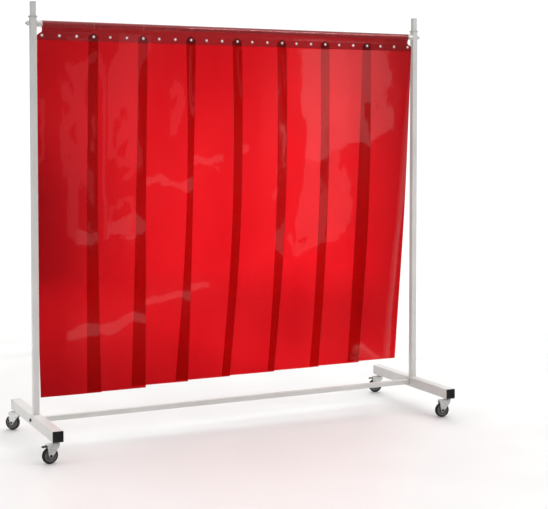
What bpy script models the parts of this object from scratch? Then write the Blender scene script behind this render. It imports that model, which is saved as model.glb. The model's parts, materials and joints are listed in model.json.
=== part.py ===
"""Mobile welding curtain screen: a tube frame on four swivel castors, with a curtain of eight PVC strips.

The frame is two square uprights on square feet, joined by a cross bar below and by a round rail
above. Every strip wraps over the rail and closes on itself, so the curtain swings about the rail.
Metres, +Z up, -Y is the front. The origin is on the floor, below the middle of the cross bar.
"""

import math

import bmesh
import bpy
from mathutils import Matrix, Vector

# Frame
UPRIGHT_X = 1.055
UPRIGHT_SIZE = 0.030
UPRIGHT_TOP = 2.040
TUBE_WALL = 0.002
TUBE_ROUNDING = 0.003
FOOT_SIZE = 0.050
FOOT_LENGTH = 0.760
FOOT_BOTTOM = 0.100
CAP_FLANGE = 0.005
BAR_SIZE = 0.025

# Rail and what holds it
RAIL_Z = 2.0123
RAIL_RADIUS = 0.0125
SOCKET_RADIUS = 0.0165
SOCKET_LENGTH = 0.026
SOCKET_BASE = 0.006
BOLT_RADIUS = 0.004
KNOB_RADIUS = 0.0145
KNOB_LOBES = 6
KNOB_FACE = 0.0145
KNOB_REACH = 0.023

# Spigots that stand out of the uprights
SPIGOT_SIZE = 0.025
SPIGOT_BOTTOM = 1.960
SPIGOT_TOP = 2.115
COLLAR_HEIGHT = 0.008
COLLAR_SIZE = 0.036

# Castors
WHEEL_RADIUS = 0.0375
WHEEL_WIDTH = 0.022
CASTOR_INSET = 0.035
CASTOR_TRAIL = 0.030
FORK_WIDTH = 0.030
FORK_PLATE = 0.002
CROWN_TOP = 0.0905
CROWN_BOTTOM = 0.0865
AXLE_RADIUS = 0.004
PEDAL_WIDTH = 0.024
PEDAL_PIVOT = (0.026, 0.0815)
PEDAL_PIN_RADIUS = 0.0025

# Curtain
STRIP_COUNT = 8
STRIP_PITCH = 0.253
STRIP_WIDTH = 0.300
STRIP_THICKNESS = 0.002
STRIP_BOTTOM = 0.232
NECK_GAP = 0.0015
LOOP_CLEARANCE = 0.0012
LAYER_OFFSET = 0.00115
LOOP_CLOSED = 0.034
STUD_DROP = 0.0547
FLAP_DROP = 0.077
SHINGLE_STEP = 0.0047
# How far each strip's foot hangs from under its loop, sideways and towards the back
STRIP_LEANS = (
    (0.000, -0.015),
    (-0.020, -0.005),
    (-0.028, 0.045),
    (-0.036, 0.075),
    (-0.026, 0.090),
    (-0.006, 0.108),
    (0.000, 0.125),
    (-0.006, 0.150),
)

GAP = 0.0003
SEGMENTS = 16

# Castor name: side of the screen, end of the foot, direction of the trail in degrees, brake
CASTORS = {
    "castor_front_left": (-1, -1, 186.0, True),
    "castor_front_right": (1, -1, 170.0, False),
    "castor_back_left": (-1, 1, 136.0, False),
    "castor_back_right": (1, 1, 160.0, True),
}

FOOT_TOP = FOOT_BOTTOM + FOOT_SIZE
BAR_Z = FOOT_BOTTOM + FOOT_SIZE / 2


def clear_scene():
    for thing in list(bpy.data.objects):
        bpy.data.objects.remove(thing, do_unlink=True)


def new_collection(name):
    collection = bpy.data.collections.new(name)
    bpy.context.scene.collection.children.link(collection)
    return collection


def make_material(name, colour, metallic, roughness, alpha=1.0):
    material = bpy.data.materials.new(name)
    material.use_nodes = True
    shader = material.node_tree.nodes["Principled BSDF"]
    shader.inputs["Base Color"].default_value = (*colour, 1.0)
    shader.inputs["Metallic"].default_value = metallic
    shader.inputs["Roughness"].default_value = roughness
    shader.inputs["Alpha"].default_value = alpha
    return material


def add_part(name, mesh, finish, location=(0, 0, 0), parent=None):
    """One named sub-part with a material of its own."""
    part = bpy.data.objects.new(name, mesh)
    part.location = location
    part.parent = parent
    mesh.materials.clear()
    mesh.materials.append(make_material(name, *FINISHES[finish]))
    PARTS.objects.link(part)
    return part


def add_guide(name, location, parent=None, turn=0.0):
    """An empty on a joint's axis."""
    guide = bpy.data.objects.new(name, None)
    guide.location = location
    guide.rotation_euler = (0, 0, math.radians(turn))
    guide.parent = parent
    PARTS.objects.link(guide)
    return guide


def cutter_object(name, mesh, parent):
    cutter = bpy.data.objects.new(name, mesh)
    cutter.hide_render = True
    cutter.display_type = "WIRE"
    cutter.parent = parent
    CUTTERS.objects.link(cutter)
    return cutter


def combine(part, mesh, operation):
    """Cuts a mesh, given in the part's own coordinates, out of the part or joins it on."""
    cutter = cutter_object(f"{part.name}_{operation.lower()}_{len(part.modifiers)}", mesh, part)
    boolean = part.modifiers.new(operation.title(), "BOOLEAN")
    boolean.operation = operation
    boolean.solver = "EXACT"
    boolean.object = cutter


def mesh_from(form, name="shape"):
    mesh = bpy.data.meshes.new(name)
    form.to_mesh(mesh)
    form.free()
    return mesh


def facing(axis):
    """The turn that takes +Z to a direction."""
    return Vector((0, 0, 1)).rotation_difference(Vector(axis)).to_matrix().to_4x4()


def block_mesh(size, centre):
    form = bmesh.new()
    matrix = Matrix.Translation(centre) @ Matrix.Diagonal((*size, 1))
    bmesh.ops.create_cube(form, size=1, matrix=matrix)
    return mesh_from(form)


def cylinder_mesh(radius, start, end, segments=SEGMENTS):
    """A solid cylinder, or a prism of few segments, from one point to another."""
    start = Vector(start)
    span = Vector(end) - start
    form = bmesh.new()
    bmesh.ops.create_cone(
        form,
        cap_ends=True,
        segments=segments,
        radius1=radius,
        radius2=radius,
        depth=span.length,
        matrix=Matrix.Translation(start + span / 2) @ facing(span),
    )
    return mesh_from(form)


def turned_part(name, profile, finish, axis=(0, 0, 1), closed=False, steps=SEGMENTS, **place):
    """A profile of (radius, height) points, from the top down its outer side, turned about an axis.

    A turn of four steps makes a square block, whose flats face the other two axes.
    """
    form = bmesh.new()
    turn = facing(axis) @ Matrix.Rotation(math.pi / 4 if steps == 4 else 0, 4, "Z")
    points = [form.verts.new(turn @ Vector((radius, 0, height))) for radius, height in profile]
    ends = points[1:] + points[:1] if closed else points[1:]
    for start, end in zip(points, ends):
        form.edges.new((start, end))
    part = add_part(name, mesh_from(form, name), finish, **place)
    screw = part.modifiers.new("Turn", "SCREW")
    screw.axis = "XYZ"[[abs(value) for value in axis].index(1)]
    screw.angle = math.tau if sum(axis) > 0 else -math.tau
    screw.steps = steps
    screw.render_steps = steps
    screw.use_merge_vertices = True
    screw.merge_threshold = 0.0001
    screw.use_smooth_shade = steps > 8
    return part


def square_profile(levels):
    """Half sizes of a square block, as the radii that a four-step turn needs."""
    return [(half * math.sqrt(2), height) for half, height in levels]


def soften(part, width, segments=1, angle=40):
    bevel = part.modifiers.new("Soften", "BEVEL")
    bevel.width = width
    bevel.segments = segments
    bevel.limit_method = "ANGLE"
    bevel.angle_limit = math.radians(angle)


def square_tube(name, size, start, end, finish, wall=TUBE_WALL, rounding=TUBE_ROUNDING):
    """A square tube with rounded corners, open at both ends."""
    start = Vector(start)
    span = Vector(end) - start
    form = bmesh.new()
    bmesh.ops.create_cube(form, size=1, matrix=Matrix.Diagonal((size, size, span.length, 1)))
    ends = [face for face in form.faces if abs(face.normal.z) > 0.5]
    bmesh.ops.delete(form, geom=ends, context="FACES_ONLY")
    corners = [edge for edge in form.edges if len(edge.link_faces) == 2]
    bmesh.ops.bevel(form, geom=corners, offset=rounding, segments=3, profile=0.5, affect="EDGES")
    bmesh.ops.transform(form, matrix=facing(span), verts=form.verts)
    tube = add_part(name, mesh_from(form, name), finish, location=start + span / 2)
    shell = tube.modifiers.new("Wall", "SOLIDIFY")
    shell.thickness = wall
    shell.offset = -1
    shell.use_even_offset = True
    return tube


def drill(part, radius, start, end, segments=SEGMENTS):
    """A round hole between two points given in world coordinates, for a part that isn't turned."""
    offset = part.location
    combine(part, cylinder_mesh(radius, Vector(start) - offset, Vector(end) - offset, segments), "DIFFERENCE")


def outline_mesh(points, thickness):
    """A flat outline in XZ, given as (x, z) points, as a plate centred on Y = 0."""
    curve = bpy.data.curves.new("outline", "CURVE")
    curve.dimensions = "2D"
    curve.fill_mode = "BOTH"
    curve.extrude = thickness / 2
    spline = curve.splines.new("POLY")
    spline.points.add(len(points) - 1)
    for place, (x, z) in zip(spline.points, points):
        place.co = (x, z, 0, 1)
    spline.use_cyclic_u = True
    holder = bpy.data.objects.new("outline", curve)
    CUTTERS.objects.link(holder)
    bpy.context.view_layer.update()
    seen = holder.evaluated_get(bpy.context.evaluated_depsgraph_get())
    mesh = bpy.data.meshes.new_from_object(seen)
    bpy.data.objects.remove(holder, do_unlink=True)
    form = bmesh.new()
    form.from_mesh(mesh)
    bmesh.ops.remove_doubles(form, verts=form.verts, dist=1e-6)
    bmesh.ops.transform(form, matrix=Matrix.Rotation(math.pi / 2, 4, "X"), verts=form.verts)
    bmesh.ops.recalc_face_normals(form, faces=form.faces)
    form.to_mesh(mesh)
    form.free()
    return mesh


def arc(centre, radius, start, end, steps):
    """Points on a circle between two angles in degrees."""
    angles = [math.radians(start + (end - start) * step / steps) for step in range(steps + 1)]
    return [(centre[0] + radius * math.cos(a), centre[1] + radius * math.sin(a)) for a in angles]


# ---------------------------------------------------------------- frame


def make_foot(side, name):
    x = side * UPRIGHT_X
    half = FOOT_LENGTH / 2 - CAP_FLANGE
    foot = square_tube(f"{name}_foot", FOOT_SIZE, (x, -half, BAR_Z), (x, half, BAR_Z), "frame_paint")
    for end in (-1, 1):
        y = end * (FOOT_LENGTH / 2 - CASTOR_INSET)
        drill(foot, 0.0054, (x, y, FOOT_BOTTOM - 0.01), (x, y, FOOT_BOTTOM + 0.01))
    drill(foot, BOLT_RADIUS + GAP, (x - FOOT_SIZE, 0, BAR_Z), (x + FOOT_SIZE, 0, BAR_Z))
    for end, where in ((-1, "front"), (1, "back")):
        make_foot_cap(f"{name}_{where}_cap", x, end)


def make_foot_cap(name, x, end):
    flange = FOOT_SIZE / 2
    plug = flange - TUBE_WALL - GAP
    relief = plug - 0.0015
    levels = [(0, CAP_FLANGE), (flange, CAP_FLANGE), (flange, GAP), (relief, GAP), (relief, -0.002)]
    levels += [(plug, -0.002), (plug, -0.016), (0, -0.016)]
    cap = turned_part(
        name,
        square_profile(levels),
        "black_plastic",
        axis=(0, end, 0),
        steps=4,
        location=(x, end * (FOOT_LENGTH / 2 - CAP_FLANGE), BAR_Z),
    )
    soften(cap, 0.001)


def make_upright(side, name):
    x = side * UPRIGHT_X
    upright = square_tube(
        f"{name}_upright", UPRIGHT_SIZE, (x, 0, FOOT_TOP + GAP), (x, 0, UPRIGHT_TOP), "frame_paint"
    )
    spigot = square_tube(
        f"{name}_spigot",
        SPIGOT_SIZE,
        (x, 0, SPIGOT_BOTTOM),
        (x, 0, SPIGOT_TOP - 0.003 - GAP),
        "frame_paint",
        rounding=0.002,
    )
    for tube in (upright, spigot):
        drill(tube, BOLT_RADIUS + GAP, (x - UPRIGHT_SIZE, 0, RAIL_Z), (x + UPRIGHT_SIZE, 0, RAIL_Z))
    make_spigot_cap(f"{name}_spigot_cap", x)
    make_collar(side, name, x)


def make_spigot_cap(name, x):
    flange = SPIGOT_SIZE / 2
    plug = flange - TUBE_WALL - GAP
    levels = [(0, 0), (flange, 0), (flange, -0.003), (plug, -0.003), (plug, -0.014), (0, -0.014)]
    cap = turned_part(name, square_profile(levels), "grey_plastic", steps=4, location=(x, 0, SPIGOT_TOP))
    soften(cap, 0.0006)


def make_collar(side, name, x):
    """The ring that closes the upright's mouth round the spigot, and the screw that pins it there."""
    outer = COLLAR_SIZE / 2
    inner = SPIGOT_SIZE / 2 + GAP
    ring = [(outer, COLLAR_HEIGHT), (outer, 0), (inner, 0), (inner, COLLAR_HEIGHT)]
    base = UPRIGHT_TOP + GAP
    collar = turned_part(
        f"{name}_collar", square_profile(ring), "grey_plastic", closed=True, steps=4, location=(x, 0, base)
    )
    soften(collar, 0.0012)
    middle = base + COLLAR_HEIGHT / 2
    drill(collar, 0.0023, (x, 0, middle), (x + side * COLLAR_SIZE, 0, middle), 12)
    head = [(0, 0.0028), (0.0024, 0.0026), (0.0034, 0.0018), (0.0034, GAP), (0.002, GAP)]
    turned_part(
        f"{name}_collar_screw",
        head + [(0.002, -(outer - inner) + GAP), (0, -(outer - inner) + GAP)],
        "dark_steel",
        axis=(side, 0, 0),
        steps=12,
        location=(x + side * outer, 0, middle),
    )


def make_cross_bar():
    reach = UPRIGHT_X - FOOT_SIZE / 2 - GAP
    square_tube("cross_bar", BAR_SIZE, (-reach, 0, BAR_Z), (reach, 0, BAR_Z), "frame_paint", rounding=0.002)
    for side, name in SIDES:
        half = BAR_SIZE / 2 - TUBE_WALL - GAP
        length = 0.030
        hole = BOLT_RADIUS + GAP
        levels = [(half, 0), (half, -length), (hole, -length), (hole, 0)]
        insert = turned_part(
            f"{name}_bar_insert",
            square_profile(levels),
            "zinc",
            axis=(side, 0, 0),
            closed=True,
            steps=4,
            location=(side * (reach - 0.001), 0, BAR_Z),
        )
        soften(insert, 0.0006)
        make_bar_bolt(side, name)


def make_bar_bolt(side, name):
    """A hexagon bolt with a washer, through the foot and into the cross bar's insert."""
    length = FOOT_SIZE + 0.024
    washer = 0.0016 + GAP
    profile = [(0, washer), (0.009, washer), (0.009, GAP), (BOLT_RADIUS, GAP)]
    bolt = turned_part(
        f"{name}_bar_bolt",
        profile + [(BOLT_RADIUS, -length), (0, -length)],
        "dark_steel",
        axis=(side, 0, 0),
        location=(side * (UPRIGHT_X + FOOT_SIZE / 2), 0, BAR_Z),
    )
    head = cylinder_mesh(0.0075, (side * washer / 2, 0, 0), (side * (washer + 0.005), 0, 0), 6)
    combine(bolt, head, "UNION")


# ---------------------------------------------------------------- rail


def make_rail():
    inner_face = UPRIGHT_X - UPRIGHT_SIZE / 2
    reach = inner_face - SOCKET_BASE - 2 * GAP
    bore = RAIL_RADIUS - TUBE_WALL
    ring = [(RAIL_RADIUS, reach), (RAIL_RADIUS, -reach), (bore, -reach), (bore, reach)]
    turned_part("rail", ring, "zinc", axis=(1, 0, 0), closed=True, steps=24, location=(0, 0, RAIL_Z))
    for side, name in SIDES:
        make_rail_socket(side, name, inner_face)
        make_rail_knob(side, name)


def make_rail_socket(side, name, inner_face):
    """The cup on the upright's inner face that the rail's end sits in."""
    bore = RAIL_RADIUS + GAP
    hole = BOLT_RADIUS + GAP
    ring = [
        (hole, -GAP),
        (SOCKET_RADIUS, -GAP),
        (SOCKET_RADIUS, -SOCKET_LENGTH + 0.001),
        (SOCKET_RADIUS - 0.001, -SOCKET_LENGTH),
        (bore, -SOCKET_LENGTH),
        (bore, -SOCKET_BASE),
        (hole, -SOCKET_BASE),
    ]
    turned_part(
        f"{name}_rail_socket",
        ring,
        "zinc",
        axis=(side, 0, 0),
        closed=True,
        steps=20,
        location=(side * inner_face, 0, RAIL_Z),
    )


def knob_outline():
    """The radius swells and dips once for each lobe."""
    count = KNOB_LOBES * 5
    points = []
    for step in range(count):
        angle = math.tau * step / count
        radius = KNOB_RADIUS - 0.0016 * (1 - math.cos(KNOB_LOBES * angle))
        points.append((radius * math.cos(angle), radius * math.sin(angle)))
    return points


def make_rail_knob(side, name):
    """A hand knob on the upright's outer face, and its bolt, which runs on into the rail's socket."""
    face = UPRIGHT_X + UPRIGHT_SIZE / 2
    axis = add_guide(f"{name}_knob_axis", (side * face, 0, RAIL_Z))
    base = 0.0045
    grip = outline_mesh(knob_outline(), KNOB_FACE - base)
    grip.transform(Matrix.Translation((side * (KNOB_FACE + base) / 2, 0, 0)) @ Matrix.Rotation(math.pi / 2, 4, "Z"))
    knob = add_part(f"{name}_rail_knob", grip, "zinc", parent=axis)
    soften(knob, 0.0012)
    combine(knob, cylinder_mesh(0.0085, (side * 0.0022, 0, 0), (side * 0.006, 0, 0)), "UNION")
    hole = BOLT_RADIUS + GAP
    combine(knob, cylinder_mesh(hole, (0, 0, 0), (side * 0.03, 0, 0)), "DIFFERENCE")
    tip = UPRIGHT_SIZE + SOCKET_BASE + 0.003
    profile = [
        (0, KNOB_REACH),
        (0.0045, KNOB_REACH - 0.001),
        (0.0065, KNOB_REACH - 0.0025),
        (0.0065, KNOB_FACE + GAP),
        (BOLT_RADIUS, KNOB_FACE + GAP),
        (BOLT_RADIUS, 0.0018 + GAP / 2),
        (0.008, 0.0018 + GAP / 2),
        (0.008, GAP),
        (BOLT_RADIUS, GAP),
        (BOLT_RADIUS, -tip),
        (0, -tip),
    ]
    turned_part(f"{name}_rail_bolt", profile, "zinc", axis=(side, 0, 0), steps=12, parent=axis)


# ---------------------------------------------------------------- castors


def make_castor(name, side, end, trail, braked):
    """One swivel castor. Its guides stand on the swivel's axis and on the wheel's axis."""
    x = side * UPRIGHT_X
    y = end * (FOOT_LENGTH / 2 - CASTOR_INSET)
    make_stem(f"{name}_stem", (x, y, 0))
    swivel = add_guide(f"{name}_swivel_axis", (x, y, 0), turn=trail)
    make_fork(f"{name}_fork", swivel, braked)
    make_axle(f"{name}_axle", swivel)
    wheel = add_guide(f"{name}_wheel_axis", (CASTOR_TRAIL, 0, WHEEL_RADIUS), parent=swivel)
    make_wheel(name, wheel)
    if braked:
        make_pedal(name, swivel)


def make_stem(name, location):
    """The threaded stem in the foot, the upper race and the kingpin that the fork hangs on."""
    profile = [
        (0, 0.122),
        (0.0042, 0.122),
        (0.005, 0.121),
        (0.005, FOOT_BOTTOM - GAP),
        (0.018, FOOT_BOTTOM - GAP),
        (0.019, 0.0985),
        (0.019, 0.0940),
        (0.0165, 0.0922),
        (0.005, 0.0922),
        (0.005, CROWN_BOTTOM - GAP),
        (0.0078, CROWN_BOTTOM - GAP),
        (0.0060, 0.0832),
        (0, 0.0828),
    ]
    turned_part(name, profile, "zinc", steps=12, location=location)


def fork_outline():
    """A side plate: wide below the crown, with a round end about the axle."""
    end = arc((CASTOR_TRAIL, WHEEL_RADIUS), 0.0095, -12, -172, 6)
    return [(-0.012, CROWN_TOP), (0.046, CROWN_TOP), (0.047, 0.082)] + end + [(-0.012, 0.078)]


def make_fork(name, swivel, braked):
    fork = add_part(name, outline_mesh(fork_outline(), FORK_WIDTH), "zinc", parent=swivel)
    channel = FORK_WIDTH - 2 * FORK_PLATE
    combine(fork, block_mesh((0.2, channel, CROWN_BOTTOM), (0, 0, CROWN_BOTTOM / 2)), "DIFFERENCE")
    combine(fork, cylinder_mesh(0.0185, (0, 0, CROWN_BOTTOM), (0, 0, CROWN_TOP), 24), "UNION")
    combine(fork, cylinder_mesh(0.0054, (0, 0, 0.08), (0, 0, 0.1)), "DIFFERENCE")
    across = FORK_WIDTH
    hub = (CASTOR_TRAIL, WHEEL_RADIUS)
    for (x, z), radius in ((hub, AXLE_RADIUS), (PEDAL_PIVOT, PEDAL_PIN_RADIUS)):
        if radius == AXLE_RADIUS or braked:
            combine(fork, cylinder_mesh(radius + GAP, (x, -across, z), (x, across, z)), "DIFFERENCE")


def make_axle(name, swivel):
    """A bolt through the fork and the wheel, with a hexagon head and a nut."""
    half = FORK_WIDTH / 2 + GAP
    location = (CASTOR_TRAIL, 0, WHEEL_RADIUS)
    axle = turned_part(
        name,
        [(0, half + 0.004), (AXLE_RADIUS, half + 0.004), (AXLE_RADIUS, -half - 0.004), (0, -half - 0.004)],
        "zinc",
        axis=(0, 1, 0),
        steps=12,
        location=location,
        parent=swivel,
    )
    for end in (-1, 1):
        combine(axle, cylinder_mesh(0.0068, (0, end * half, 0), (0, end * (half + 0.0035), 0), 6), "UNION")


def make_wheel(name, wheel):
    half = WHEEL_WIDTH / 2
    rim = WHEEL_RADIUS - 0.009
    hub = FORK_WIDTH / 2 - FORK_PLATE - 0.0006
    web = 0.003
    bore = AXLE_RADIUS + 0.0002
    core = [
        (bore, hub),
        (0.0095, hub),
        (0.0105, web),
        (rim - 0.006, web),
        (rim - 0.004, half - 0.001),
        (rim, half - 0.001),
        (rim, -half + 0.001),
        (rim - 0.004, -half + 0.001),
        (rim - 0.006, -web),
        (0.0105, -web),
        (0.0095, -hub),
        (bore, -hub),
    ]
    turned_part(f"{name}_core", core, "core_plastic", axis=(0, 1, 0), closed=True, steps=16, parent=wheel)
    inner = rim + GAP
    crown = arc((WHEEL_RADIUS - half + 0.003, 0), half - 0.003, 60, -60, 4)
    tread = [(WHEEL_RADIUS - 0.0035, half - 0.0005)] + crown + [(WHEEL_RADIUS - 0.0035, -half + 0.0005)]
    tyre = [(inner, half - 0.002)] + tread + [(inner, -half + 0.002)]
    turned_part(f"{name}_tyre", tyre, "rubber", axis=(0, 1, 0), closed=True, steps=24, parent=wheel)


def pedal_outline():
    """An eye round the pin, a cam that bears on the tyre, and a foot plate."""
    x, z = PEDAL_PIVOT
    eye = arc((x, z), 0.0045, 60, 290, 7)
    cam = [(0.0345, 0.0776), (0.0390, 0.0775), (0.0410, 0.0793)]
    plate = [(0.0610, 0.0790), (0.0660, 0.0765), (0.0680, 0.0780), (0.0630, 0.0820), (0.0400, 0.0840)]
    return eye + cam + plate


def make_pedal(name, swivel):
    x, z = PEDAL_PIVOT
    axis = add_guide(f"{name}_pedal_axis", (x, 0, z), parent=swivel)
    lever = outline_mesh(pedal_outline(), PEDAL_WIDTH)
    lever.transform(Matrix.Translation((-x, 0, -z)))
    pedal = add_part(f"{name}_pedal", lever, "black_plastic", parent=axis)
    reach = FORK_WIDTH
    hole = cylinder_mesh(PEDAL_PIN_RADIUS + 0.0002, (0, -reach, 0), (0, reach, 0))
    combine(pedal, hole, "DIFFERENCE")
    half = FORK_WIDTH / 2 + GAP
    head = PEDAL_PIN_RADIUS + 0.0015
    rivet = [(0, half + 0.0015), (head - 0.001, half + 0.0015), (head, half), (PEDAL_PIN_RADIUS, half)]
    profile = rivet + [(radius, -height) for radius, height in reversed(rivet)]
    turned_part(f"{name}_pedal_pin", profile, "zinc", axis=(0, 1, 0), steps=12, location=(x, 0, z), parent=swivel)


# ---------------------------------------------------------------- curtain


def strip_path(foot_lean):
    """Rows of a strip, as (y, z) from the rail's axis and half width, from the flap over the rail to the foot."""
    radius = RAIL_RADIUS + LOOP_CLEARANCE + STRIP_THICKNESS / 2
    opening = math.degrees(math.acos(radius / LOOP_CLOSED))
    neck = (STRIP_PITCH - NECK_GAP) / 2
    full = STRIP_WIDTH / 2
    back = [(LAYER_OFFSET, -FLAP_DROP, full), (LAYER_OFFSET, -STUD_DROP, full), (LAYER_OFFSET, -LOOP_CLOSED, neck)]
    over = [(y, z, neck) for y, z in arc((0, 0), radius, -90 + opening, 270 - opening, 12)]
    front = [(-y, z, half) for y, z, half in reversed(back)]
    foot = (foot_lean - LAYER_OFFSET, STRIP_BOTTOM - RAIL_Z, full)
    return back + over + front + [foot]


def make_strip(number, curtain):
    """One PVC strip: a sheet folded over the rail and closed below it, wide below and narrow at the loop."""
    lean_x, lean_y = STRIP_LEANS[number]
    path = strip_path(lean_y)
    form = bmesh.new()
    rows = []
    for y, z, half in path:
        closed = min(1.0, max(0.0, (-z - 0.008) / (LOOP_CLOSED - 0.008)))
        hung = max(0.0, -z - FLAP_DROP) / (RAIL_Z - STRIP_BOTTOM - FLAP_DROP)
        shingle = half * SHINGLE_STEP / STRIP_PITCH * closed
        left = form.verts.new((lean_x * hung - half, y + shingle, z))
        right = form.verts.new((lean_x * hung + half, y - shingle, z))
        rows.append((left, right))
    for upper, lower in zip(rows, rows[1:]):
        form.faces.new((upper[0], upper[1], lower[1], lower[0]))
    bmesh.ops.recalc_face_normals(form, faces=form.faces)
    centre = (number - (STRIP_COUNT - 1) / 2) * STRIP_PITCH
    name = f"strip_{number + 1}"
    strip = add_part(name, mesh_from(form, name), "red_pvc", location=(centre, 0, 0), parent=curtain)
    sheet = strip.modifiers.new("Thickness", "SOLIDIFY")
    sheet.thickness = STRIP_THICKNESS
    sheet.offset = 0


def make_curtain():
    curtain = add_guide("curtain_axis", (0, 0, RAIL_Z))
    for number in range(STRIP_COUNT):
        make_strip(number, curtain)


FINISHES = {
    "frame_paint": ((0.66, 0.65, 0.63), 0.0, 0.35),
    "grey_plastic": ((0.55, 0.55, 0.53), 0.0, 0.45),
    "black_plastic": ((0.02, 0.018, 0.018), 0.0, 0.4),
    "core_plastic": ((0.09, 0.085, 0.09), 0.0, 0.45),
    "rubber": ((0.012, 0.012, 0.012), 0.0, 0.6),
    "zinc": ((0.62, 0.63, 0.62), 1.0, 0.35),
    "dark_steel": ((0.10, 0.10, 0.11), 1.0, 0.4),
    "red_pvc": ((0.72, 0.01, 0.02), 0.0, 0.2, 0.85),
}
SIDES = ((-1, "left"), (1, "right"))

clear_scene()
PARTS = new_collection("welding_curtain_screen")
CUTTERS = new_collection("cutters")
for side, side_name in SIDES:
    make_foot(side, side_name)
    make_upright(side, side_name)
make_cross_bar()
make_rail()
for castor_name, setting in CASTORS.items():
    make_castor(castor_name, *setting)
make_curtain()
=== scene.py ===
"""Looks of the mobile welding curtain screen: red PVC strips on a grey tube frame, in a white studio.

Metres, +Z up, -Y is the front, as in the frame. The eight strips and their press studs are made here,
the castors' wheels, the knobs and the end caps are made again with finer shapes, and every other piece
of the frame keeps its shape and gets its finish.
"""

import json
import math

import bmesh
import bpy
from mathutils import Matrix, Vector, noise


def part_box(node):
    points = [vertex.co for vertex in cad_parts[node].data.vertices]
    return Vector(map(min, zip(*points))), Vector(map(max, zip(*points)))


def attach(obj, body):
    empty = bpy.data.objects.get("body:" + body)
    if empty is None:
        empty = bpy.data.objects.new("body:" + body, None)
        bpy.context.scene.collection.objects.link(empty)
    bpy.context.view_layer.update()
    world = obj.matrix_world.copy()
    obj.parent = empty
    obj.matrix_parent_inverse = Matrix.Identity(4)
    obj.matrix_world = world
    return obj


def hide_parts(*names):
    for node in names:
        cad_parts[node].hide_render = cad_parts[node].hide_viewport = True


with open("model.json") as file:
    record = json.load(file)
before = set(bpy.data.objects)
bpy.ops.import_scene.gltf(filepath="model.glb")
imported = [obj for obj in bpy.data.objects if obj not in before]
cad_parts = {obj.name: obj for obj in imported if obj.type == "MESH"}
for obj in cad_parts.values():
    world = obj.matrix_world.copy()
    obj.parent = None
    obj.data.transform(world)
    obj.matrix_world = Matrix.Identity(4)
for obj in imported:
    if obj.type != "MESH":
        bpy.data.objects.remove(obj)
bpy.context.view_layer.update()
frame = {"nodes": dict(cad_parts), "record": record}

STRIPS = [f"strip_{number}" for number in range(1, 9)]
SIDES = {"left": -1, "right": 1}
CASTORS = ["castor_front_left", "castor_front_right", "castor_back_left", "castor_back_right"]

# Strips: how they close below the rail, as in the CAD solids
SHEET_THICKNESS = 0.002
LOOP_CLEARANCE = 0.0012
LAYER_OFFSET = 0.00115
LOOP_CLOSED = 0.034
STUD_DROP = 0.0547
FLAP_DROP = 0.077
STRIP_WIDTH = 0.300
NECK_WIDTH = 0.2515
SHINGLE_SLOPE = 0.0047 / 0.253

# Columns of vertices across a strip, from its left edge (-1) to its right edge (1), and rows down its length
EDGE = 0.993
COLUMNS = [-1.0, -EDGE, *(step / 13 for step in range(-12, 13)), EDGE, 1.0]
LONG_ROWS = 150

# Press studs
STUDS_PER_STRIP = 3
STUD_RADIUS = 0.0064
STUD_LAYER_GAP = 0.0003


# ---------------------------------------------------------------- helpers


def mesh_object(name, form, materials, smooth_angle=None):
    """A bmesh as an object, shaded smooth except across edges sharper than smooth_angle degrees."""
    mesh = bpy.data.meshes.new(name)
    form.to_mesh(mesh)
    form.free()
    for material in materials:
        mesh.materials.append(material)
    if smooth_angle:
        mesh.shade_smooth()
        mesh.set_sharp_from_angle(angle=math.radians(smooth_angle))
    made = bpy.data.objects.new(name, mesh)
    bpy.context.scene.collection.objects.link(made)
    return made


def middle(node):
    """The middle of a CAD node's box."""
    low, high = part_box(node)
    return (low + high) / 2


def smoothstep(low, high, value):
    """0 below low and 1 above high, with a smooth rise between them; low may be the higher of the two."""
    share = min(1.0, max(0.0, (value - low) / (high - low)))
    return share * share * (3 - 2 * share)


def arc(centre, radius, start, end, steps):
    """Points round an arc, from one angle to another, in degrees."""
    angles = [math.radians(start + (end - start) * step / steps) for step in range(steps + 1)]
    return [(centre[0] + radius * math.cos(a), centre[1] + radius * math.sin(a)) for a in angles]


def add_node(tree, kind, inputs=None, **settings):
    """A shader node with its settings, its inputs either linked from sockets or set to plain values."""
    made = tree.nodes.new(kind)
    for name, value in settings.items():
        setattr(made, name, value)
    for name, value in (inputs or {}).items():
        if isinstance(value, bpy.types.NodeSocket):
            tree.links.new(value, made.inputs[name])
        else:
            made.inputs[name].default_value = value
    return made


# ---------------------------------------------------------------- finishes


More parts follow.
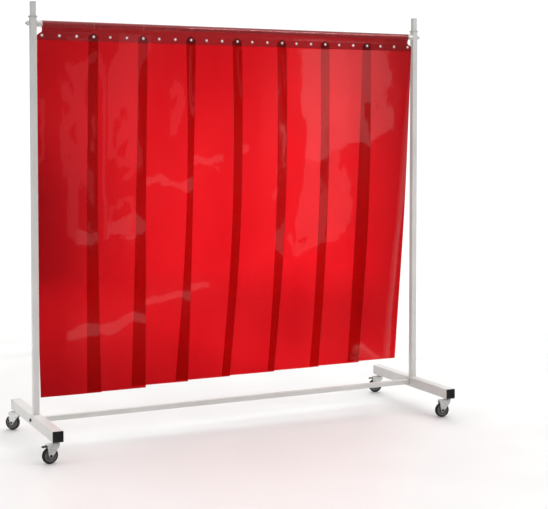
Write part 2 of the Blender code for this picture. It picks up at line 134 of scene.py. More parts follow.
class Finish:
    """A Principled material with short calls for the nodes that drive it."""

    def __init__(self, name, colour, roughness, metallic=0.0):
        self.material = bpy.data.materials.new(name)
        self.material.use_nodes = True
        self.tree = self.material.node_tree
        self.shader = self.tree.nodes["Principled BSDF"]
        self.set("Base Color", (*colour, 1))
        self.set("Roughness", roughness)
        self.set("Metallic", metallic)

    def set(self, socket, value):
        self.shader.inputs[socket].default_value = value

    def node(self, kind, inputs=None, **settings):
        return add_node(self.tree, kind, inputs, **settings)

    def show(self, surface):
        """Puts another shader in the place of the plain Principled one."""
        self.tree.links.new(surface, self.tree.nodes["Material Output"].inputs["Surface"])

    def feed(self, output, socket):
        self.tree.links.new(output, self.shader.inputs[socket])

    def place(self, stretch=(1, 1, 1)):
        """Coordinates in the row frame, in metres, times stretch."""
        where = self.node("ShaderNodeTexCoord").outputs["Object"]
        if stretch == (1, 1, 1):
            return where
        return self.node("ShaderNodeMapping", {"Vector": where, "Scale": stretch}).outputs[0]

    def noise(self, scale, detail=3.0, stretch=(1, 1, 1), distortion=0.0):
        inputs = {"Vector": self.place(stretch), "Scale": scale, "Detail": detail, "Distortion": distortion}
        return self.node("ShaderNodeTexNoise", inputs).outputs[0]

    def span(self, value, low, high, start=0.3, end=0.7):
        """A value between start and end, spread over low to high."""
        inputs = {"Value": value, "From Min": start, "From Max": end, "To Min": low, "To Max": high}
        return self.node("ShaderNodeMapRange", inputs).outputs[0]

    def tint(self, value, dark, light, start=0.3, end=0.7):
        ramp = self.node("ShaderNodeValToRGB", {"Fac": value})
        for stop, place, colour in zip(ramp.color_ramp.elements, (start, end), (dark, light)):
            stop.position = place
            stop.color = (*colour, 1)
        return ramp.outputs[0]

    def blend(self, factor, first, second):
        mix = self.node("ShaderNodeMix", data_type="RGBA")
        for name, value in (("Factor_Float", factor), ("A_Color", first), ("B_Color", second)):
            socket = next(s for s in mix.inputs if s.identifier == name)
            if isinstance(value, bpy.types.NodeSocket):
                self.tree.links.new(value, socket)
            else:
                socket.default_value = value
        return next(s for s in mix.outputs if s.identifier == "Result_Color")

    def bump(self, height, strength, distance):
        inputs = {"Height": height, "Strength": strength, "Distance": distance}
        return self.node("ShaderNodeBump", inputs).outputs[0]


def frame_paint():
    """Light grey powder coat: a fine orange peel, and a slow drift in tone and gloss."""
    paint = Finish("frame_paint", (0.66, 0.65, 0.63), 0.36)
    drift = paint.noise(5, 2)
    paint.feed(paint.tint(drift, (0.63, 0.62, 0.60), (0.69, 0.68, 0.66)), "Base Color")
    paint.feed(paint.span(paint.noise(60, 4), 0.30, 0.44), "Roughness")
    paint.feed(paint.bump(paint.noise(700, 2), 0.12, 0.0004), "Normal")
    return paint.material


def moulded_plastic(name, dark, light, roughness):
    """Moulded plastic with a fine spark-eroded grain."""
    plastic = Finish(name, light, roughness)
    plastic.feed(plastic.tint(plastic.noise(30, 3), dark, light), "Base Color")
    plastic.feed(plastic.span(plastic.noise(220, 3), roughness - 0.07, roughness + 0.09), "Roughness")
    plastic.feed(plastic.bump(plastic.noise(1600, 2), 0.18, 0.0003), "Normal")
    return plastic.material


def zinc_plate():
    """Pale zinc plate, duller than bare metal: cloudy tone and gloss, with faint drawing lines."""
    zinc = Finish("zinc_plate", (0.80, 0.81, 0.79), 0.3, 0.35)
    cloud = zinc.noise(55, 4, distortion=0.6)
    zinc.feed(zinc.tint(cloud, (0.68, 0.69, 0.67), (0.86, 0.87, 0.84)), "Base Color")
    zinc.feed(zinc.span(zinc.noise(140, 4), 0.22, 0.42), "Roughness")
    zinc.feed(zinc.bump(zinc.noise(500, 3, (1, 1, 6)), 0.1, 0.0002), "Normal")
    return zinc.material


def dark_steel():
    """Blackened steel of the small bolts, uneven in tone and gloss; on the axles its darkness is painted
    shade of their recessed hex socket ends.
    """
    steel = Finish("dark_steel", (0.10, 0.10, 0.11), 0.4, 1.0)
    steel.feed(steel.tint(steel.noise(180, 3), (0.06, 0.06, 0.065), (0.15, 0.15, 0.16)), "Base Color")
    steel.feed(steel.span(steel.noise(300, 3), 0.32, 0.5), "Roughness")
    return steel.material


def tyre_rubber():
    """Black rubber, a little dusty in patches, with a fine grain."""
    rubber = Finish("tyre_rubber", (0.012, 0.012, 0.012), 0.6)
    dust = rubber.noise(70, 5)
    rubber.feed(rubber.tint(dust, (0.010, 0.010, 0.010), (0.035, 0.033, 0.031), 0.4, 0.75), "Base Color")
    rubber.feed(rubber.span(dust, 0.5, 0.75), "Roughness")
    rubber.feed(rubber.bump(rubber.noise(1300, 2), 0.25, 0.0003), "Normal")
    return rubber.material


def stud_nickel():
    """Nickel plate of the press studs, with a fine grain; its warm pink cast is a painted reflection of the
    red strips.
    """
    # Painted reflection: the pink in this colour stands in for red light from the strips on the caps
    nickel = Finish("stud_nickel", (0.92, 0.84, 0.82), 0.25, 0.3)
    nickel.feed(nickel.span(nickel.noise(350, 3), 0.2, 0.36), "Roughness")
    nickel.feed(nickel.bump(nickel.noise(900, 2), 0.08, 0.0002), "Normal")
    return nickel.material


# The film's dye, and the paler tint of the light that falls through it
DYE_DARK = (0.54, 0.004, 0.008)
DYE_LIGHT = (0.60, 0.007, 0.011)
SHADOW_TINT = (0.76, 0.62, 0.62)

# Above this height the strip is a folded hem, painted greyer: its colour holds a painted reflection, a
# grey-pink veil over the red
HEM_FOOT = 1.936
HEM_PAINTED_VEIL = (0.55, 0.095, 0.105)


def red_pvc():
    """Clear red soft PVC: dyed through, slightly hazy, with a glossy skin.

    The folded hem is painted greyer, a painted reflection veil over the red. Light that falls through a strip
    on to the floor and the frame takes a paler tint straight, so that the strips cast pink shadows.
    """
    film = Finish("red_pvc", DYE_LIGHT, 0.16)
    clouds = film.noise(2.5, 3, (1.4, 1, 0.6))
    dyed = film.tint(clouds, DYE_DARK, DYE_LIGHT)
    height = film.node("ShaderNodeSeparateXYZ", {0: film.place()}).outputs[2]
    painted_veil_mask = film.span(height, 0.0, 1.0, HEM_FOOT - 0.001, HEM_FOOT + 0.001)
    # Painted reflection: above the hem's foot the film takes a greyer colour than its dye, standing in for a
    # grey-pink veil of reflected light
    film.feed(film.blend(painted_veil_mask, dyed, (*HEM_PAINTED_VEIL, 1)), "Base Color")
    film.feed(film.span(film.noise(7, 3), 0.12, 0.2), "Roughness")
    film.set("Transmission Weight", 1.0)
    film.set("IOR", 1.33)
    film.set("Coat Weight", 0.7)
    film.set("Coat Roughness", 0.015)
    skin = film.bump(film.noise(28, 2, (1, 1, 0.7)), 0.05, 0.002)
    film.feed(skin, "Normal")
    film.feed(skin, "Coat Normal")
    ray = film.node("ShaderNodeLightPath").outputs
    rays = {0: ray["Is Shadow Ray"], 1: ray["Is Diffuse Ray"]}
    lighting = film.node("ShaderNodeMath", rays, operation="MAXIMUM").outputs[0]
    straight = film.node("ShaderNodeBsdfTransparent", {"Color": (*SHADOW_TINT, 1)}).outputs[0]
    shaders = {0: lighting, 1: film.shader.outputs[0], 2: straight}
    film.show(film.node("ShaderNodeMixShader", shaders).outputs[0])
    return film.material


FINISHES = {
    "frame_paint": frame_paint(),
    "grey_plastic": moulded_plastic("grey_plastic", (0.50, 0.50, 0.48), (0.58, 0.58, 0.56), 0.42),
    "black_plastic": moulded_plastic("black_plastic", (0.014, 0.013, 0.013), (0.026, 0.024, 0.024), 0.38),
    "core_plastic": moulded_plastic("core_plastic", (0.12, 0.112, 0.115), (0.17, 0.16, 0.162), 0.42),
    "rubber": tyre_rubber(),
    "zinc_plate": zinc_plate(),
    "dark_steel": dark_steel(),
    "red_pvc": red_pvc(),
}
NICKEL = stud_nickel()

# CAD nodes shade smooth except across edges sharper than this, in degrees
CAD_EDGE = 32


def finish_cad_nodes():
    """Each CAD node that stays takes the finish of its slot; the wheels' axles are painted dark, as painted
    shade of their recessed hex socket ends.
    """
    for part in frame["record"]["subparts"]:
        node = frame["nodes"][part["node"]]
        # Painted shade: the axles take dark steel in place of their slot, standing in for the shade in their
        # recessed hex socket ends
        slot = "dark_steel" if part["node"].endswith("axle") else part["material_slot"]
        node.data.materials.clear()
        node.data.materials.append(FINISHES[slot])
        node.data.shade_smooth()
        node.data.set_sharp_from_angle(angle=math.radians(CAD_EDGE))


# ---------------------------------------------------------------- strips


def strip_rows(foot_lean, rail_radius, drop):
    """Rows of a strip from its flap, over the rail, to its foot: (y, z) from the rail's axis."""
    radius = rail_radius + LOOP_CLEARANCE + SHEET_THICKNESS / 2
    opening = math.degrees(math.acos(radius / LOOP_CLOSED))
    levels = [FLAP_DROP, FLAP_DROP - 0.001, 0.070, 0.062, STUD_DROP, 0.048, 0.041, LOOP_CLOSED]
    back = [(LAYER_OFFSET, -level) for level in levels]
    over = arc((0, 0), radius, -90 + opening, 270 - opening, 32)
    front = [(-y, z) for y, z in reversed(back)]
    hung_rows = [step / LONG_ROWS for step in range(1, LONG_ROWS)] + [0.9995, 1.0]
    long = [(-LAYER_OFFSET + hung * foot_lean, -FLAP_DROP + hung * (FLAP_DROP - drop)) for hung in hung_rows]
    return back + over + front + long


def half_width(z):
    """Half the strip's width at a height below the rail's axis."""
    neck = smoothstep(-STUD_DROP, -LOOP_CLOSED, z)
    return STRIP_WIDTH / 2 + neck * (NECK_WIDTH - STRIP_WIDTH) / 2


# Each strip's own set: seed, where its crest runs (-1 left edge, 1 right edge), how far the crest stands
# out to the front, and the depth, width and length of its waves
SETS = (
    (1.3, -0.25, 0.0022, 0.0016, 0.15, 0.30),
    (4.7, -0.40, 0.0027, 0.0018, 0.14, 0.24),
    (7.9, 0.10, -0.0020, 0.0014, 0.20, 0.20),
    (11.2, 0.20, 0.0012, 0.0012, 0.24, 0.18),
    (15.8, -0.10, 0.0010, 0.0012, 0.24, 0.20),
    (19.1, -0.05, 0.0014, 0.0013, 0.18, 0.16),
    (23.6, 0.30, 0.0008, 0.0012, 0.24, 0.16),
    (29.4, 0.72, 0.0012, 0.0014, 0.16, 0.24),
)
CREST_ROUNDING = 0.15

# How far a crest wanders across the strip (of half its width), and over what length
CREST_WANDER = 0.25
CREST_WANDER_LENGTH = 0.35

# How far the right edge of a strip curls to the front below its studs, and from where across the strip
CURLS = {2: 0.005, 3: 0.006, 4: 0.006}
CURL_START = 0.86

# How far the middle of each strip has slid sideways
SWAY = (-0.010, -0.005, 0.005, 0.031, 0.032, 0.024, 0.025, 0.010)

# The wave that all strips share, and the fine ripple of the film: depth, width and length
SHARED_WAVE = (0.0030, 0.55, 0.60)
SHARED_SEED = 3.1
RIPPLE = (0.00022, 0.05, 0.08)

# The waves reach their full depth this far below the rail, and this share of them is left at the edges
FREE_DROP = 0.35
EDGE_SHARE = 0.15


def standing(crest, across):
    """1 on the crest, 0 at both edges, with straight flanks."""
    away = (across - crest) / (1 - crest) if across > crest else (crest - across) / (crest + 1)
    fallen = math.hypot(away, CREST_ROUNDING) - CREST_ROUNDING
    return 1 - fallen / (math.hypot(1, CREST_ROUNDING) - CREST_ROUNDING)


def billow(shape, x, z, seed):
    """Smooth noise with a depth, a width and a length."""
    depth, wide, long = shape
    return depth * noise.noise(Vector((x / wide, z / long, seed)))


def wave(number, across, x, z):
    """How far the strip stands out of its plane: a slow wave that all share, and its own set."""
    seed, crest, bow, *own_wave = SETS[number]
    shared = billow(SHARED_WAVE, x, z, SHARED_SEED)
    own = billow(own_wave, x, z, seed)
    ripple = billow(RIPPLE, x, z, seed)
    below = smoothstep(-FLAP_DROP, -FREE_DROP, z)
    inside = smoothstep(1.0, 0.6, abs(across))
    wandering = crest + CREST_WANDER * noise.noise(Vector((0.5, z / CREST_WANDER_LENGTH, seed)))
    bowed = -bow * standing(wandering, across)
    waved = below * (shared + bowed + (own + ripple) * (EDGE_SHARE + (1 - EDGE_SHARE) * inside))
    curled = CURLS.get(number, 0.0) * smoothstep(CURL_START, 1.0, across) * smoothstep(-0.50, -0.12, z)
    return waved - curled * smoothstep(-0.08, -0.11, z)


def make_strip(number, node):
    """One strip in its CAD node's place, a sheet from its flap to its foot. Returns its middle in X."""
    low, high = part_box(node)
    corners = [vertex.co for vertex in frame["nodes"][node].data.vertices]
    rail_low, rail_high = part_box("rail")
    axis = (rail_low + rail_high) / 2
    top = [corner.x for corner in corners if corner.z > high.z - 0.002]
    foot = [corner for corner in corners if corner.z < low.z + 0.002]
    centre = (min(top) + max(top)) / 2
    lean_x = (min(corner.x for corner in foot) + max(corner.x for corner in foot)) / 2 - centre
    lean_y = (min(corner.y for corner in foot) + max(corner.y for corner in foot)) / 2
    drop = axis.z - low.z
    form = bmesh.new()
    rows = []
    path = strip_rows(lean_y, (rail_high.z - rail_low.z) / 2, drop)
    for y, z in path:
        half = half_width(z)
        closed = smoothstep(-0.008, -LOOP_CLOSED, z)
        hung = max(0.0, -z - FLAP_DROP) / (drop - FLAP_DROP)
        row = []
        for across in COLUMNS:
            x = centre + lean_x * hung + SWAY[number] * math.sin(math.pi * hung) + across * half
            lapped = -across * half * SHINGLE_SLOPE * closed
            out = wave(number, across, x, z)
            row.append(form.verts.new((x, axis.y + y + lapped + out, axis.z + z)))
        rows.append(row)
    for upper, lower in zip(rows, rows[1:]):
        for left in range(len(COLUMNS) - 1):
            form.faces.new((upper[left], upper[left + 1], lower[left + 1], lower[left]))
    bmesh.ops.recalc_face_normals(form, faces=form.faces)
    piece = mesh_object(f"pvc_{node}", form, [FINISHES["red_pvc"]])
    piece.data.shade_smooth()
    sheet = piece.modifiers.new("Thickness", "SOLIDIFY")
    sheet.thickness = SHEET_THICKNESS
    sheet.offset = 0
    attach(piece, "curtain")
    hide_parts(node)
    return centre


def spin_profile(form, profile, steps=32):
    """Turns (radius, height) points about Z. Points on the axis become one vertex."""
    rings = []
    for radius, height in profile:
        if radius < 1e-7:
            rings.append([form.verts.new((0, 0, height))])
            continue
        angles = [math.tau * step / steps for step in range(steps)]
        rings.append([form.verts.new((radius * math.cos(a), radius * math.sin(a), height)) for a in angles])
    for upper, lower in zip(rings, rings[1:]):
        for step in range(steps):
            after = (step + 1) % steps
            if len(upper) == 1:
                form.faces.new((upper[0], lower[step], lower[after]))
            elif len(lower) == 1:
                form.faces.new((upper[step], lower[0], upper[after]))
            else:
                form.faces.new((upper[step], lower[step], lower[after], upper[after]))


def make_studs(centres):
    """The row of press studs, three to each strip and one more. Those at the laps go through both strips."""
    axis = middle("rail")
    pitch = (centres[-1] - centres[0]) / (len(centres) - 1)
    first = centres[0] - pitch / 2
    count = len(centres) * STUDS_PER_STRIP + 1
    for number in range(count):
        x = first + number * pitch / STUDS_PER_STRIP
        shared = number % STUDS_PER_STRIP == 0
        front_strip = max(0, (number - 1) // STUDS_PER_STRIP)
        layers = 4 if shared and 0 < number < count - 1 else 2
        lapped = -(x - centres[front_strip]) * SHINGLE_SLOPE
        front = axis.y + lapped - LAYER_OFFSET - SHEET_THICKNESS / 2
        depth = SHEET_THICKNESS * layers + STUD_LAYER_GAP * (layers - 1)
        make_stud(number, Vector((x, front, axis.z - STUD_DROP)), depth)


def make_stud(number, front, depth):
    """The cap on the front face, the shank through the layers and the socket behind."""
    form = bmesh.new()
    spin_profile(form, [
        (0, 0.0026), (0.0016, 0.00255), (0.0030, 0.0023), (0.0041, 0.0018), (0.0047, 0.0012),
        (0.0052, 0.0009), (0.0058, 0.0011), (STUD_RADIUS, 0.0007), (STUD_RADIUS, 0.0001), (0.0056, -0.0001),
        (0.0022, -0.0001), (0.0022, -depth - 0.0002), (0.0052, -depth - 0.0002),
        (0.0056, -depth - 0.0006), (0.0056, -depth - 0.0018), (0.0050, -depth - 0.0024),
        (0.0040, -depth - 0.0024), (0.0034, -depth - 0.0016), (0.0020, -depth - 0.0014),
        (0.0014, -depth - 0.0026), (0, -depth - 0.0028),
    ])
    form.transform(Matrix.Translation(front) @ Matrix.Rotation(math.pi / 2, 4, "X"))
    bmesh.ops.recalc_face_normals(form, faces=form.faces)
    stud = mesh_object(f"press_stud_{number + 1:02d}", form, [NICKEL], 40)
    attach(stud, "curtain")


# ---------------------------------------------------------------- finer frame pieces

# Wheels: (radius, distance along the axle), round the section
CORE_SIDE = (
    (0.0042, 0.0122), (0.0072, 0.0122), (0.0080, 0.0118), (0.0088, 0.0104), (0.0098, 0.0052),
    (0.0112, 0.0034), (0.0150, 0.0028), (0.0205, 0.0028), (0.0218, 0.0036), (0.0232, 0.0078),
    (0.0240, 0.0092), (0.0250, 0.0098), (0.0270, 0.0098), (0.0276, 0.0092), (0.0283, 0.0088),
)
TYRE_SIDE = (
    (0.0285, 0.0088), (0.0292, 0.0094), (0.0306, 0.0100), (0.0314, 0.0100), (0.0318, 0.0105),
    (0.0332, 0.0107), (0.0344, 0.0100), (0.0358, 0.0082), (0.0368, 0.0058), (0.0374, 0.0030),
    (0.0375, 0.0),
)
WHEEL_STEPS = 64

# Knobs: (share of the grip's thickness, share of the full radius)
KNOB_LEVELS = (
    (0.0, 0.84), (0.04, 0.92), (0.14, 0.98), (0.28, 1.0), (0.72, 1.0),
    (0.88, 0.98), (0.97, 0.92), (1.0, 0.84), (1.0, 0.66), (0.93, 0.60),
)
KNOB_HUB = 0.0023
KNOB_HUB_RADIUS = 0.0085
KNOB_BORE_RADIUS = 0.0043
KNOB_SUNK = 0.93
KNOB_LOBES = 6
KNOB_LOBE_DEPTH = 0.11
KNOB_STEPS = 96

# Foot caps: (distance in from the outer face, inset, corner radius)
CAP_LEVELS = (
    (0.0047, 0.0, 0.003), (0.0010, 0.0, 0.003), (0.0003, 0.0004, 0.0028), (0.0, 0.0012, 0.0024),
    (0.0, 0.0060, 0.0016), (0.0002, 0.0064, 0.0014), (0.0012, 0.0068, 0.0012),
)

RAIL_WALL = 0.002
RAIL_EDGE = 0.0006
RAIL_STEPS = 64
WELD_RADIUS = 0.0022
WELD_CORNER = 0.003
WELD_STEPS = 10


def finer(node, form, body="frame", smooth_angle=30):
    """The form takes the place of a CAD node, in that node's finish."""
    slot = next(part["material_slot"] for part in frame["record"]["subparts"] if part["node"] == node)
    piece = mesh_object(f"{node}_fine", form, [FINISHES[slot]], smooth_angle)
    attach(piece, body)
    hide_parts(node)
    return piece


def join_rings(form, rings, closed=True):
    """Faces between rings of as many vertices each, and from the last ring to the first if closed."""
    for upper, lower in zip(rings, rings[1:] + rings[:1] if closed else rings[1:]):
        for step in range(len(upper)):
            after = (step + 1) % len(upper)
            form.faces.new((upper[step], lower[step], lower[after], upper[after]))


def ring_form(profile, steps):
    """A ring with a closed section of (radius, height) points, about Z."""
    form = bmesh.new()
    rings = []
    for radius, height in profile:
        angles = [math.tau * step / steps for step in range(steps)]
        rings.append([form.verts.new((radius * math.cos(a), radius * math.sin(a), height)) for a in angles])
    join_rings(form, rings)
    bmesh.ops.recalc_face_normals(form, faces=form.faces)
    return form


def make_wheel(castor):
    """The wheel's centre and its tyre, turned as the CAD's castor is turned."""
    hub = middle(f"{castor}_tyre")
    trail = hub - middle(f"{castor}_stem")
    stand = Matrix.Translation(hub) @ Matrix.Rotation(math.atan2(trail.y, trail.x), 4, "Z")
    axle = Matrix.Rotation(math.pi / 2, 4, "X")
    for name, side in (("core", CORE_SIDE), ("tyre", TYRE_SIDE)):
        back = [(radius, -height) for radius, height in reversed(side) if height > 0]
        form = ring_form([*side, *back], WHEEL_STEPS)
        form.transform(stand @ axle)
        finer(f"{castor}_{name}", form, f"{castor}_wheel")


def make_knob(side, name):
    """The lobed hand knob: a hub against the upright, a rounded rim and a sunk face round the bolt."""
    low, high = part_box(f"{name}_rail_knob")
    middle_z = (low.z + high.z) / 2
    reach = (high.z - low.z) / 2
    inner, outer = (low.x, high.x) if side > 0 else (high.x, low.x)
    back = inner + side * KNOB_HUB
    rows = [(inner, KNOB_BORE_RADIUS, False), (inner, KNOB_HUB_RADIUS, False), (back, KNOB_HUB_RADIUS, False)]
    rows += [(back + (outer - back) * share, size * reach, True) for share, size in KNOB_LEVELS]
    rows.append((back + (outer - back) * KNOB_SUNK, KNOB_BORE_RADIUS, False))
    form = bmesh.new()
    rings = []
    for x, size, lobed in rows:
        ring = []
        for step in range(KNOB_STEPS):
            angle = math.tau * step / KNOB_STEPS
            radius = size * (1 - KNOB_LOBE_DEPTH * (1 - math.cos(KNOB_LOBES * angle))) if lobed else size
            ring.append(form.verts.new((x, radius * math.cos(angle), middle_z + radius * math.sin(angle))))
        rings.append(ring)
    join_rings(form, rings)
    bmesh.ops.recalc_face_normals(form, faces=form.faces)
    finer(f"{name}_rail_knob", form, f"{name}_knob")


def rounded_square(half, radius, steps=6):
    """Points round a square with rounded corners."""
    corner = arc((half - radius, half - radius), radius, 0, 90, steps)
    turns = [Matrix.Rotation(quarter * math.pi / 2, 2) for quarter in range(4)]
    return [turn @ Vector(point) for turn in turns for point in corner]


def make_foot_cap(name, end):
    """The end cap: rounded like the tube, with a raised border round a sunk panel."""
    low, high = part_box(f"{name}_cap")
    outer = high.y if end > 0 else low.y
    centre = (low + high) / 2
    half = (high.x - low.x) / 2
    form = bmesh.new()
    rings = []
    for depth, inset, radius in CAP_LEVELS:
        points = rounded_square(half - inset, radius)
        y = outer - end * depth
        rings.append([form.verts.new((centre.x + point.x, y, centre.z + point.y)) for point in points])
    join_rings(form, rings, closed=False)
    form.faces.new(rings[0])
    form.faces.new(rings[-1])
    bmesh.ops.recalc_face_normals(form, faces=form.faces)
    finer(f"{name}_cap", form)


def make_rail():
    """The round rail as a tube with open ends and a small bevel at each."""
    low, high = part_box("rail")
    axis = (low + high) / 2
    radius = (high.z - low.z) / 2
    half = (high.x - low.x) / 2
    section = [
        (radius, half - RAIL_EDGE), (radius, -half + RAIL_EDGE), (radius - RAIL_EDGE, -half),
        (radius - RAIL_WALL, -half), (radius - RAIL_WALL, half), (radius - RAIL_EDGE, half),
    ]
    form = ring_form(section, RAIL_STEPS)
    form.transform(Matrix.Translation(axis) @ Matrix.Rotation(math.pi / 2, 4, "Y"))
    finer("rail", form)


def make_weld(name):
    """The bead that runs round an upright where it stands on its foot."""
    low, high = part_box(f"{name}_upright")
    centre = (low + high) / 2
    half = (high.x - low.x) / 2
    path = []
    for corner in range(4):
        for x, y in arc((half - WELD_CORNER, half - WELD_CORNER), WELD_CORNER, 0, 90, 5):
            path.append(Matrix.Rotation(corner * math.pi / 2, 3, "Z") @ Vector((x, y, 0)))
    form = bmesh.new()
    rings = []
    for place, point in enumerate(path):
        out = Vector((point.x, point.y, 0)).normalized()
        size = WELD_RADIUS * (1 + 0.12 * noise.noise(Vector((place * 0.7, half, 0))))
        section = [math.tau * step / WELD_STEPS for step in range(WELD_STEPS)]
        ring = [point + out * size * math.cos(a) + Vector((0, 0, size * 0.9 * math.sin(a))) for a in section]
        rings.append([form.verts.new(corner) for corner in ring])
    join_rings(form, rings)
    bmesh.ops.recalc_face_normals(form, faces=form.faces)
    form.transform(Matrix.Translation((centre.x, centre.y, low.z)))
    bead = mesh_object(f"{name}_weld", form, [FINISHES["frame_paint"]], 60)
    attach(bead, "frame")


# Bevels of the CAD nodes that stay, by the last word of their names, and the angle from which an edge has one
SOFTENED = {"fork": 0.0005, "pedal": 0.0008, "collar": 0.0006, "axle": 0.0003, "bolt": 0.0003}
BEVEL_ANGLE = 35


def soften_cad_nodes():
    """Rounds the edges of the pressed, moulded and turned pieces that stay."""
    for name, node in frame["nodes"].items():
        kind = name.rsplit("_", 1)[-1]
        if kind in SOFTENED:
            edge = node.modifiers.new("Edge", "BEVEL")
            edge.width = SOFTENED[kind]
            edge.segments = 2
            edge.limit_method = "ANGLE"
            edge.angle_limit = math.radians(BEVEL_ANGLE)
            edge.harden_normals = True


# ---------------------------------------------------------------- studio


# The floor fades out between these distances from the origin
FLOOR_CLEAR = 3.2
FLOOR_RADIUS = 7.0

# Where the floor's two sheets meet, in Y, and their tone
PAPER_EDGE = -0.15
PAPER_WHITE = (0.765, 0.762, 0.758)


def make_floor():
    """A pale floor that fades into the white surround.

    Reflections see only its near sheet, which ends a little in front of the screen. Seen through the strips,
    its colour is painted bright in the middle and darker at both sides: painted back light that falls off to
    the sides.
    """
    floor_paper = Finish("floor_paper", PAPER_WHITE, 0.35)
    across = floor_paper.node("ShaderNodeSeparateXYZ", {0: floor_paper.place()}).outputs[0]
    # Painted light: seen through the strips, the floor's colour is brighter in the middle and darker at both
    # sides, standing in for the back light
    painted_light_rise = floor_paper.span(across, 0.45, 1.0, -0.7, 0.9)
    painted_light_fall = floor_paper.span(across, 1.0, 0.62, 0.9, 2.6)
    level = floor_paper.node("ShaderNodeMath", {0: painted_light_rise, 1: painted_light_fall}, operation="MULTIPLY").outputs[0]
    behind_film = floor_paper.node("ShaderNodeLightPath").outputs["Is Transmission Ray"]
    floor_paper.feed(floor_paper.blend(behind_film, (*PAPER_WHITE, 1), level), "Base Color")
    floor_paper.set("Specular IOR Level", 0.3)
    floor_paper.feed(floor_paper.span(floor_paper.noise(3, 2), 0.3, 0.4), "Roughness")
    away = floor_paper.node("ShaderNodeVectorMath", {0: floor_paper.place()}, operation="LENGTH")
    gone = floor_paper.span(away.outputs["Value"], 0.0, 1.0, FLOOR_CLEAR, FLOOR_RADIUS)
    clear = floor_paper.node("ShaderNodeBsdfTransparent").outputs[0]
    shaders = {0: gone, 1: floor_paper.shader.outputs[0], 2: clear}
    floor_paper.show(floor_paper.node("ShaderNodeMixShader", shaders).outputs[0])
    sheets = (("floor_near", PAPER_EDGE, FLOOR_RADIUS), ("floor_front", -FLOOR_RADIUS, PAPER_EDGE))
    for name, first, last in sheets:
        form = bmesh.new()
        corners = [(-FLOOR_RADIUS, first), (FLOOR_RADIUS, first), (FLOOR_RADIUS, last), (-FLOOR_RADIUS, last)]
        form.faces.new([form.verts.new((x, y, 0)) for x, y in corners])
        floor = mesh_object(name, form, [floor_paper.material])
        floor.visible_glossy = name == "floor_near"


# The lit wall behind the screen, as the strips let it through: its sideways direction and its brightness
GLOW_SIDE = (0.910, -0.415, 0.0)
GLOW_PEAK = 1.83

# How bright the plain white surround is, and the dim room that gloss reflects
SURROUND_WHITE = 1.1
ROOM_DARK = 0.03


def make_world():
    """White all round for the eye, a soft pale dome for light, and a dim room for reflections."""
    world = bpy.data.worlds.new("studio")
    bpy.context.scene.world = world
    world.use_nodes = True
    tree = world.node_tree
    tree.nodes.clear()

    def node(kind, inputs=None, **settings):
        return add_node(tree, kind, inputs, **settings)

    def span(value, start, end, low, high):
        inputs = {"Value": value, "From Min": start, "From Max": end, "To Min": low, "To Max": high}
        return node("ShaderNodeMapRange", inputs, interpolation_type="SMOOTHSTEP").outputs[0]

    def maths(operation, first, second):
        return node("ShaderNodeMath", {0: first, 1: second}, operation=operation).outputs[0]

    way = node("ShaderNodeTexCoord").outputs["Generated"]
    split = node("ShaderNodeSeparateXYZ", {0: way}).outputs
    side = node("ShaderNodeVectorMath", {0: way, 1: GLOW_SIDE}, operation="DOT_PRODUCT").outputs["Value"]
    up = split[2]

    # Through the strips: a bright patch, a half-bright rest to both sides, and a glow at the upper left
    left = maths("ADD", span(side, -0.20, -0.04, 0.15, 0.88), span(side, 0.0, 0.04, 0.0, 0.12))
    patch = maths("MULTIPLY", left, span(side, 0.055, 0.17, 1.0, 0.15))
    surround = span(maths("ABSOLUTE", side, 0.0), 0.22, 0.42, 0.0, 0.55)
    height = maths("MULTIPLY", span(up, -0.24, -0.09, 0.5, 1.0), span(up, -0.06, 0.09, 1.0, 0.60))
    wall = maths("MULTIPLY", maths("ADD", patch, surround), maths("MULTIPLY", height, GLOW_PEAK))
    corner = maths("MULTIPLY", span(side, -0.16, -0.05, 1.0, 0.25), span(up, -0.06, 0.02, 0.0, 0.37))
    through = maths("ADD", wall, corner)

    # Soft light: strongest from above, weaker from the left and from the front
    above = span(up, 0.0, 0.95, 0.62, 2.7)
    across = maths("MULTIPLY", span(split[0], -0.9, 0.9, 0.50, 1.15), span(split[1], -0.8, 0.8, 0.46, 1.1))
    strength = maths("MULTIPLY", above, across)

    # Gloss: a dim room with a pale ceiling
    gloss = maths("ADD", ROOM_DARK, span(up, 0.15, 0.8, 0.0, 0.9))
    seen = (("Is Glossy Ray", gloss), ("Is Transmission Ray", through), ("Is Camera Ray", SURROUND_WHITE))
    ray = node("ShaderNodeLightPath").outputs
    for kind, value in seen:
        strength = node("ShaderNodeMix", {0: ray[kind], 2: strength, 3: value}, data_type="FLOAT").outputs[0]
    light = node("ShaderNodeBackground", {"Color": (1, 1, 1, 1), "Strength": strength})
    node("ShaderNodeOutputWorld", {"Surface": light.outputs[0]})


def area_light(name, place, target, size, power, colour=(1, 1, 1)):
    """A rectangular lamp that the eye doesn't see, neither straight nor through the strips."""
    light = bpy.data.lights.new(name, "AREA")
    light.shape = "RECTANGLE"
    light.size, light.size_y = size
    light.energy = power
    light.color = colour
    lamp = bpy.data.objects.new(name, light)
    bpy.context.scene.collection.objects.link(lamp)
    lamp.location = place
    lamp.rotation_euler = (Vector(target) - Vector(place)).to_track_quat("-Z", "Y").to_euler()
    lamp.visible_camera = False
    lamp.visible_transmission = False
    return lamp


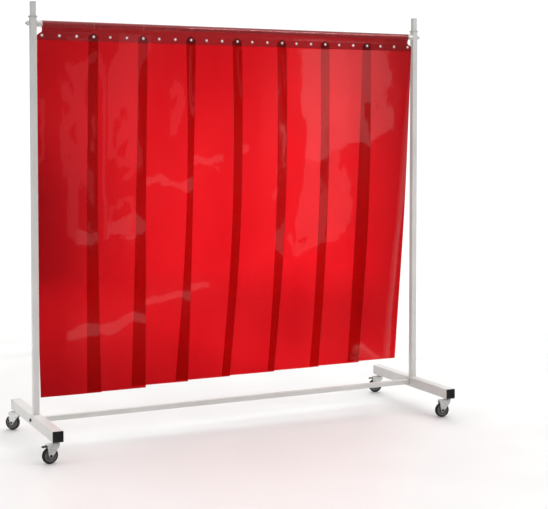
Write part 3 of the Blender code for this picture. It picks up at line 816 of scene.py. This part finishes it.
# Panels that only show in reflections: name, place, size, watts per square metre, colour
PINK = (1.0, 0.30, 0.34)
PALE = (1.0, 0.92, 0.92)
REFLECTED_PANELS = (
    ("panel_strip_1", (0.80, -6.0, 1.50), (0.34, 1.80), 3.0, PINK),
    ("panel_strip_1_edge", (0.10, -6.0, 1.58), (0.12, 0.75), 3.0, PINK),
    ("panel_strip_2", (1.33, -6.0, 1.80), (0.32, 1.40), 3.6, PINK),
    ("panel_strip_2_low", (1.25, -6.0, 0.75), (0.22, 0.28), 3.6, PINK),
    ("panel_strip_6", (3.41, -6.0, 1.15), (0.57, 1.50), 3.6, PALE),
    ("panel_strip_6_low", (3.41, -6.0, 0.0), (0.57, 0.80), 2.0, PALE),
    ("panel_strip_7", (3.95, -6.0, 1.15), (0.50, 1.50), 3.0, PALE),
    ("thin_strip", (1.7, -6.0, 0.62), (1.6, 0.10), 2.5, PALE),
    ("near_strip", (0.25, -2.5, 0.16), (1.1, 0.07), 2.6, PALE),
    ("curl_panel", (-2.6, -6.0, 1.70), (0.90, 1.50), 5.0, PALE),
    ("rail_panel", (2.9, -3.9, 4.2), (2.8, 0.7), 40.0, PALE),
)


# Lamps whose reflections don't show: name, place, target, size, watts
LAMPS = (
    ("back_light", (3.2, 5.5, 4.5), (0.6, 0.8, 0.3), (4.0, 3.0), 160),
    ("front_key", (3.8, -3.4, 1.9), (1.0, 0.0, 1.0), (1.2, 1.6), 48),
    ("left_light", (-2.3, -0.2, 1.2), (-1.1, 0.0, 1.2), (0.5, 1.6), 5),
)


def make_lights():
    for name, place, target, size, power in LAMPS:
        lamp = area_light(name, place, target, size, power)
        lamp.visible_glossy = False
    for name, place, size, glow, colour in REFLECTED_PANELS:
        target = (place[0], 0.0, min(place[2], 2.0))
        panel = area_light(name, place, target, size, glow * size[0] * size[1], colour)
        panel.visible_diffuse = False


# The camera as fitted to the photo: metres, degrees from straight down and to the left, and millimetres
CAMERA_PLACE = (-2.6114, -5.8478, 1.5148)
CAMERA_PITCH = 87.635
CAMERA_TURN = -25.787
FOCAL_LENGTH = 82.34
VIEW_SHIFT = (-0.0017, -0.135)


def make_camera():
    """The camera stands left of the screen's middle and looks down by 2.4 degrees, its view shifted down."""
    lens = bpy.data.cameras.new("camera")
    lens.lens = FOCAL_LENGTH
    lens.sensor_width = 36.0
    lens.shift_x, lens.shift_y = VIEW_SHIFT
    lens.clip_end = 200
    camera = bpy.data.objects.new("camera", lens)
    camera.location = CAMERA_PLACE
    camera.rotation_euler = (math.radians(CAMERA_PITCH), 0, math.radians(CAMERA_TURN))
    bpy.context.scene.collection.objects.link(camera)
    bpy.context.scene.camera = camera


finish_cad_nodes()
strip_centres = [make_strip(number, node) for number, node in enumerate(STRIPS)]
make_studs(strip_centres)
for castor in CASTORS:
    make_wheel(castor)
for side_name, side in SIDES.items():
    make_knob(side, side_name)
    make_weld(side_name)
    make_foot_cap(f"{side_name}_front", -1)
    make_foot_cap(f"{side_name}_back", 1)
make_rail()
soften_cad_nodes()
make_floor()
make_world()
make_lights()
make_camera()
bpy.context.scene.view_settings.view_transform = "Standard"
